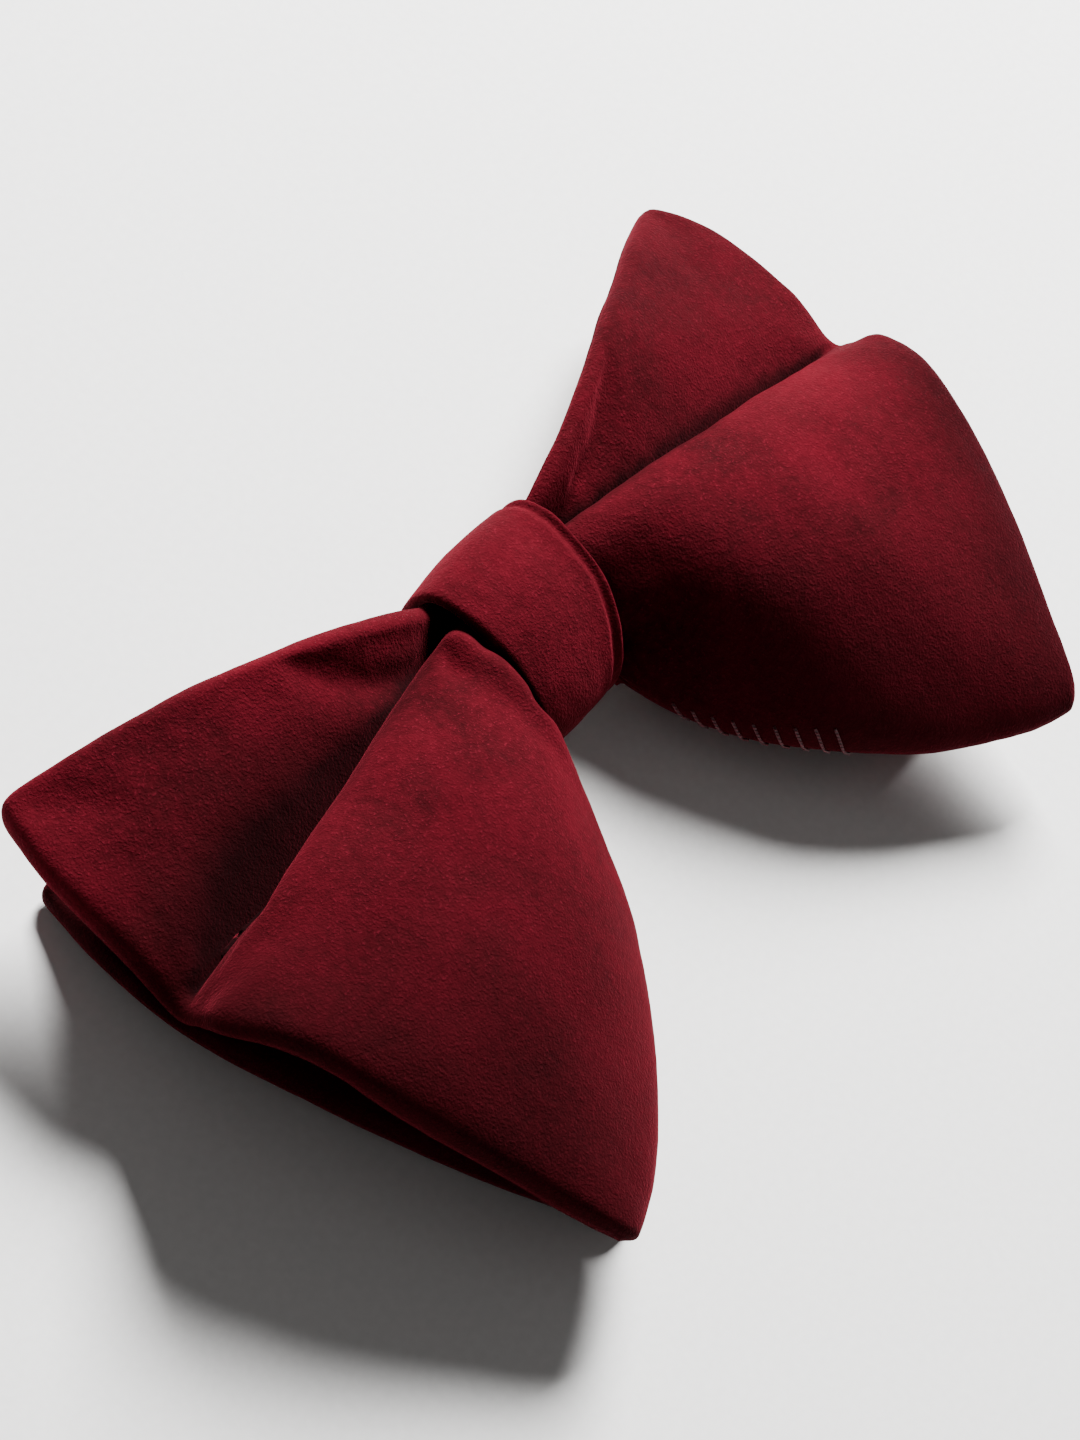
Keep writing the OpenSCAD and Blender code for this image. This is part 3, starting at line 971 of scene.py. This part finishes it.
FRONT_LEAF = Leaf(
    name="front_leaf",
    threads=[
        GuideThread((13.5, 18.4), (25, 17.6, 27.2), (48, 28.4, 23.0), (66.8, 32.1, 13.0)),
        GuideThread((11.0, 14.4), (26, 12.6, 22.4), (48, 20.4, 21.6), (70.6, 23, 15.0)),
        GuideThread((5.4, 12.6), (28, 7.6, 15.8), (50, 10.4, 16.4), (71.5, 11, 15.4)),
        GuideThread((0.4, 13.3), (22, 2.0, 11.3), (48, 3.2, 11.2), (71.4, 2.2, 13.6)),
        GuideThread((5.0, 14.7), (22, 4.4, 14.8), (48, 3.2, 14.6), (72.2, -0.8, 16.2)),
        GuideThread((9.2, 16.2), (22, 8.0, 18.6), (45, 4.6, 18.0), (73.0, -3.4, 19.3)),
        GuideThread((5.2, 17.8), (19, 1.6, 24.2), (46, -4.0, 22.5), (70.4, -11.5, 22.2)),
        GuideThread((-1.0, 15.6), (15, -11.5, 23.0), (43, -24.0, 24.0), (64.8, -27, 19.0)),
        GuideThread((-3.9, 12.2), (11, -31.2, 8.2), (39, -50.4, 9.4), (53.5, -52.4, 12.0)),
    ],
    pattern=(0.156, 0.100),
    pattern_area=0.0105,
    pleat_thread=4,
    # Painted shade: the left valley, both wings' ends and lower edges, the upper right wing.
    painted_shade_patches=(
        PaintedShadePatch(-1, (0.56, 0.32), (0.40, 0.13), 1.50),
        PaintedShadePatch(-1, (1.00, 0.60), (0.16, 0.22), 0.70),
        PaintedShadePatch(-1, (0.85, 0.95), (0.38, 0.20), 0.60),
        PaintedShadePatch(1, (1.00, 0.85), (0.14, 0.30), 0.65),
        PaintedShadePatch(1, (0.80, 0.10), (0.45, 0.16), 0.40),
        PaintedShadePatch(1, (0.45, 1.00), (0.60, 0.16), 0.60),
    ),
    dive=0.3,
    right_painted_shade=4.6,
    left_shoulder=2.7,
    creases=(
        Crease(-1, (0.00, 0.91), (0.13, 0.85), 1.3, 2.2),
        Crease(-1, (0.10, 0.66), (0.18, 0.70), 1.2, 0.7),
        Crease(-1, (0.00, 0.74), (0.50, 0.70), 2.6, 1.1),
        Crease(-1, (0.00, 0.18), (0.42, 0.14), 2.4, 0.8),
        Crease(1, (0.02, 0.90), (0.30, 0.84), 1.8, 0.9),
        Crease(1, (0.00, 0.16), (0.40, 0.10), 2.2, 0.8),
    ),
)

BACK_LEAF = Leaf(
    name="back_leaf",
    threads=[
        GuideThread((11.0, 11.0), (25, 9.5, 8.6), (46, 20.0, 6.6), (63.5, 24, 1.3)),
        GuideThread((6.5, 9.9), (28, 7.5, 9.6), (48, 11.5, 7.5), (67.8, 12, 5.4)),
        GuideThread((1.8, 9.9), (28, 0.5, 9.6), (48, 1.5, 7.5), (67.8, 0, 6.8)),
        GuideThread((-1.4, 9.9), (20, -14.0, 10.0), (42, -20.0, 9.0), (61.2, -21, 6.0)),
        GuideThread((-3.2, 10.5), (13, -26.0, 4.0), (32, -48.0, 2.6), (45.5, -51, 1.3)),
    ],
    pattern=(0.140, 0.080),
    pattern_area=0.0068,
    rows=48,
    tuck=12.0,
    right_painted_shade=2.6,
    # Painted shade over the outer half of the back leaf's left wing.
    painted_shade_patches=(PaintedShadePatch(-1, (1.0, 0.5), (0.5, 1.2), 0.75),),
)


# ---- knot -----------------------------------------------------------------------------------


@dataclass
class Knot:
    """The wrapped band, the canvas inside it and the threads that bind and close it."""

    section: tuple[tuple[float, float], ...] = (
        (10.5, 6.6), (5, 6.6), (0, 6.6), (-3.6, 6.7), (-6.3, 7.9), (-7.3, 10.4),
        (-6.6, 13.3), (-4.2, 16.3), (-1, 18.7), (3, 20.5), (7, 21.5), (11, 21.5),
        (14.2, 20.4), (15.8, 17.8), (16.0, 13.5), (15.4, 9.2), (13.6, 7.1), (10.5, 6.6),
    )
    width: float = 21.0
    taper: float = 3.0
    curl: float = 3.4
    curl_from: float = 3.0
    thickness: float = 1.5
    hem: float = 1.5
    round_cells: int = 132
    across_cells: int = 46

    def half_width(self, y: float, w: float) -> float:
        """Half the band's width at a height. Its lower right corner turns in."""
        low, high = self.section[5][0], self.section[14][0]
        half = self.width / 2 - self.taper / 2 * (high - y) / (high - low)
        if w > 0:
            half -= self.curl * max(0.0, (self.curl_from - y) / (self.curl_from - low)) ** 1.5
        return half

    def outside(self, s: float, w: float, inset: float = 0.0) -> tuple[Vector, Vector]:
        """Point of the band's outside and its outward direction.

        Args:
            s: Place round the knot, from 0 to 1, starting at the seam behind it.
            w: Place across, from -1 at the left edge to 1 at the right.
            inset: How much narrower than the band to be on each side, in mm.

        Returns:
            The point in mm in the knot's own frame, and the direction.
        """
        points = [Vector((0.0, *p)) for p in self.section]
        last = len(points) - 1
        place = min(max(s, 0.002), 0.998) * last
        here = catmull(points, place)
        ahead = catmull(points, min(place + 0.05, last)) - catmull(points, max(place - 0.05, 0))
        out = Vector((0.0, -ahead.z, ahead.y)).normalized()
        front = max(0.0, min(1.0, (here.z - 9) / 6))
        half = self.half_width(here.y, w) - inset
        from_right = (1 - w) * half
        puff = 0.9 * (1 - w * w)
        lift = 1.0 * math.exp(-((from_right / 2.6) ** 2)) * max(0.0, min(1.0, (17 - here.y) / 6))
        fold = 0.65 * math.exp(-(((from_right - self.hem) / 0.6) ** 2))
        here = here + out * ((puff + lift - fold) * front)
        here.x = w * half
        return here, out

    def place(self, s: float, t: float) -> tuple[Vector, Vector, float]:
        """Middle point, outward direction and half thickness, in metres, at a place."""
        point, out = self.outside(s, 2 * t - 1)
        inset = min(min(t, 1 - t) * self.width, min(s, 1 - s) * 74)
        turn = min(inset / 0.9, 1.0)
        half = self.thickness / 2
        round_edge = math.sqrt(max(0.0, 1 - (1 - turn) ** 2))
        middle = self.seat + (point - out * half) * MM
        return middle, out, half * round_edge * MM

    def shape(self) -> bpy.types.Object:
        """Models the band and returns it."""
        self.seat = seat_of_knot()
        self.pad = Pad("knot_pad", self.round_cells, self.across_cells, self.place).build()
        return self.pad

    def build(self, finishes: Finishes) -> None:
        """Dresses the knot, and makes what is under and behind it.

        Args:
            finishes: The materials.
        """
        band = self.pad
        ripple(band)
        band.name = "knot_band_velvet"
        hand_over(band, finishes.velvet, "knot_band")
        self.interlining(finishes)
        self.binding(finishes)
        self.seam(finishes)

    def interlining(self, finishes: Finishes) -> None:
        """Models the canvas strip under the band."""
        work = bmesh.new()
        bmesh.ops.create_grid(work, x_segments=90, y_segments=16, size=1.0)
        under = self.thickness + 0.45
        for vert in work.verts:
            point, out = self.outside((vert.co.x + 1) / 2, vert.co.y, inset=2.2)
            vert.co = self.seat + (point - out * under) * MM
        piece = put_in_scene("knot_canvas", work)
        thicken(piece, 0.5 * MM)
        hand_over(piece, finishes.canvas, "knot_band_interlining")

    def binding(self, finishes: Finishes) -> None:
        """Winds the thread that gathers the waist."""
        turns, steps, radius = 5, 30, 0.25
        path = []
        for i in range(turns * steps + 1):
            point, out = self.outside(i % steps / steps, 0.0)
            point = point - out * (self.thickness + 0.9 + radius)
            point.x = (i / (turns * steps) - 0.5) * turns * 0.8
            path.append(self.seat + point * MM)
        piece = thread_piece("waist_thread", [path], radius * MM)
        hand_over(piece, finishes.thread, "waist_binding")

    def seam(self, finishes: Finishes) -> None:
        """Sews the slip stitches over the band's butted ends, and the clip's own stitches."""
        radius = 0.2
        low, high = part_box("knot_seam_stitches")
        slips = [
            self._stitch(low.x / MM + 0.4 + 2.2 * k, low.y / MM, high.y / MM, high.z / MM, radius)
            for k in range(7)
        ]
        low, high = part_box("clip_stitches")
        tacks = [
            self._stitch(x, low.y / MM, high.y / MM, high.z / MM, radius) for x in (-3.5, 0.0, 3.5)
        ]
        for name, paths, node in (
            ("knot_slip_stitches", slips, "knot_seam_stitches"),
            ("clip_tacks", tacks, "clip_stitches"),
        ):
            hand_over(
                thread_piece(name, paths, radius * MM), finishes.thread, node
            )

    @staticmethod
    def _stitch(x: float, y0: float, y1: float, top: float, radius: float) -> list[Vector]:
        """One stitch across a face that looks down. Its two ends go up into the cloth."""
        path = [
            Vector((x - 0.3, y0, top + 0.3)), Vector((x - 0.2, y0 + 0.15, top - radius)),
            Vector((x, (y0 + y1) / 2, top - radius * 1.2)),
            Vector((x + 0.2, y1 - 0.15, top - radius)), Vector((x + 0.3, y1, top + 0.3)),
        ]
        return [point * MM for point in refined(path, 16)]


# ---- clip -----------------------------------------------------------------------------------


@dataclass
class Clip:
    """The sprung double clip behind the knot. Its stamped parts are the frame's own."""

    hinge_x: float = 8.0
    hinge_height: float = 3.4
    knot_middle: float = 3.5
    coil_radius: float = 1.7
    wire: float = 0.5
    coils: int = 3

    def build(self, finishes: Finishes) -> None:
        """Dresses the clip's metal and winds its springs.

        Args:
            finishes: The materials.
        """
        for name in ("clip_base", "left_jaw", "right_jaw"):
            paint_node(name, finishes.nickel)
        for name in ("left_hinge_pin", "right_hinge_pin"):
            paint_node(name, finishes.steel)
        for side in ("left", "right"):
            coil = thread_piece(f"{side}_coil", [self.coil_path(side)], self.wire / 2 * MM, 10)
            hand_over(coil, finishes.steel, f"{side}_spring")
            arm = thread_piece(f"{side}_coil_arm", [self.arm_path(side)], self.wire / 2 * MM, 10)
            hand_over(arm, finishes.steel, f"{side}_spring_arm", f"{side}_lever")

    def _seated(self, side: str, path: list[Vector]) -> list[Vector]:
        """Puts a path of the right-hand spring, in mm, where its side's spring is."""
        seat = seat_of_knot()
        flip = -1.0 if side == "left" else 1.0
        return [seat + Vector((flip * p.x, p.y, p.z)) * MM for p in path]

    def coil_path(self, side: str) -> list[Vector]:
        """The coil round a hinge pin and the leg that bears on the base plate."""
        pitch = self.wire + 0.12
        start = self.knot_middle - self.coils * pitch / 2
        per_turn = 28
        plate = (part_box("clip_base")[1].z - seat_of_knot().z) / MM - 0.7
        top = self.hinge_height + self.coil_radius
        leg = [
            Vector((self.hinge_x + 5.0, start, plate - self.wire / 2)),
            Vector((self.hinge_x + 3.0, start, (plate + top) / 2 - 0.02)),
            Vector((self.hinge_x + 1.2, start, top + 0.12)),
        ]
        coil = []
        for i in range(per_turn * self.coils + 1):
            turn = math.radians(90 + 360 * i / per_turn)
            coil.append(Vector((
                self.hinge_x + self.coil_radius * math.cos(turn),
                start + self.coils * pitch * i / (per_turn * self.coils),
                self.hinge_height + self.coil_radius * math.sin(turn),
            )))
        return self._seated(side, leg + coil)

    def arm_path(self, side: str) -> list[Vector]:
        """The spring's other leg, which bears on a lever's thumb tab."""
        y = self.knot_middle + self.coils * (self.wire + 0.12) / 2 + self.wire + 0.1
        low = self.hinge_height - 2.08
        path = [
            Vector((self.hinge_x - 0.9, y, self.hinge_height - self.coil_radius + 0.1)),
            Vector((self.hinge_x - 2.5, y, low)),
            Vector((self.hinge_x - 5.2, y, low)),
        ]
        return self._seated(side, refined(path, 16))


def paint_node(name: str, material: bpy.types.Material) -> None:
    """Gives a CAD node one of the finishes."""
    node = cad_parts[name]
    node.data.materials.clear()
    node.data.materials.append(material)
    LOG.info("painted %s", name)


# ---- stage ----------------------------------------------------------------------------------


@dataclass(frozen=True)
class Studio:
    """Floor, lights and camera."""

    toward_camera: tuple[float, float, float] = (-0.632, -0.060, 0.773)
    distance: float = 0.485
    lens: float = 103.9
    span_tilt: float = 46.0
    aim_above_table: float = 15.7 * MM
    aim_offset: tuple[float, float] = (-1.75 * MM, -8.17 * MM)

    def axes(self) -> tuple[Vector, Vector, Vector]:
        """The camera's right, up and backward directions."""
        back = Vector(self.toward_camera).normalized()
        span = Vector((1, 0, 0))
        level = (span - back * span.dot(back)).normalized()
        tilt = math.radians(self.span_tilt)
        right = level * math.cos(tilt) - back.cross(level) * math.sin(tilt)
        return right, back.cross(right), back

    def camera(self) -> None:
        """Sets the camera at its viewing angle, aimed near the knot."""
        right, up, back = self.axes()
        knot = Vector((0.0, seat_of_knot().y, self.aim_above_table))
        aim = knot + right * self.aim_offset[0] + up * self.aim_offset[1]
        lens = bpy.data.cameras.new("camera")
        lens.lens = self.lens
        lens.clip_start = 0.01
        holder = bpy.data.objects.new("camera", lens)
        holder.matrix_world = matrix_of(right, up, back, aim + back * self.distance)
        bpy.context.scene.collection.objects.link(holder)
        bpy.context.scene.camera = holder

    def light(self, name: str, toward: tuple[float, float, float], size: float, watts: float) -> None:
        """Adds a soft area light.

        Args:
            name: The light's name.
            toward: Shares of the camera's right, up and back directions that point to it.
            size: Its width, in metres.
            watts: Its power.
        """
        right, up, back = self.axes()
        heading = (right * toward[0] + up * toward[1] + back * toward[2]).normalized()
        lamp = bpy.data.lights.new(name, "AREA")
        lamp.size = size
        lamp.energy = watts
        holder = bpy.data.objects.new(name, lamp)
        side = heading.orthogonal().normalized()
        where = Vector((0.0, 0.0, 0.01)) + heading * 0.9
        holder.matrix_world = matrix_of(side, heading.cross(side), heading, where)
        bpy.context.scene.collection.objects.link(holder)

    def build(self, finishes: Finishes) -> None:
        """Lays the floor, hangs the lights and sets the world.

        Args:
            finishes: The materials.
        """
        work = bmesh.new()
        bmesh.ops.create_grid(work, x_segments=1, y_segments=1, size=3.0)
        floor = put_in_scene("floor", work, smooth=False)
        floor.data.materials.append(finishes.floor)
        self.light("key", (0.32, 0.94, 0.03), 0.36, 52.0)
        self.light("fill", (-0.30, 0.30, 0.90), 0.9, 0.5)
        world = bpy.data.worlds.new("studio")
        world.use_nodes = True
        sky = world.node_tree.nodes["Background"]
        sky.inputs[0].default_value = (1.0, 0.98, 0.97, 1.0)
        sky.inputs[1].default_value = 0.09
        bpy.context.scene.world = world


def matrix_of(right: Vector, up: Vector, back: Vector, where: Vector) -> Matrix:
    """A placing matrix from three directions and a point."""
    turned = Matrix((right, up, back)).transposed().to_4x4()
    turned.translation = where
    return turned


def main() -> None:
    """Builds the bow tie piece by piece, then its stage."""
    logging.basicConfig(level=logging.INFO, format="%(name)s: %(message)s")
    finishes = Finishes()
    studio = Studio()
    studio.camera()
    knot = Knot()
    # Painted shade: darkens the velvet's colour where other velvet closes it in.
    paint_shade_in_hollows([FRONT_LEAF.shape(), BACK_LEAF.shape(), knot.shape()])
    FRONT_LEAF.build(finishes)
    FRONT_LEAF.closing_stitches(finishes)
    BACK_LEAF.build(finishes)
    knot.build(finishes)
    Clip().build(finishes)
    studio.build(finishes)


if __name__ == "__main__":
    main()
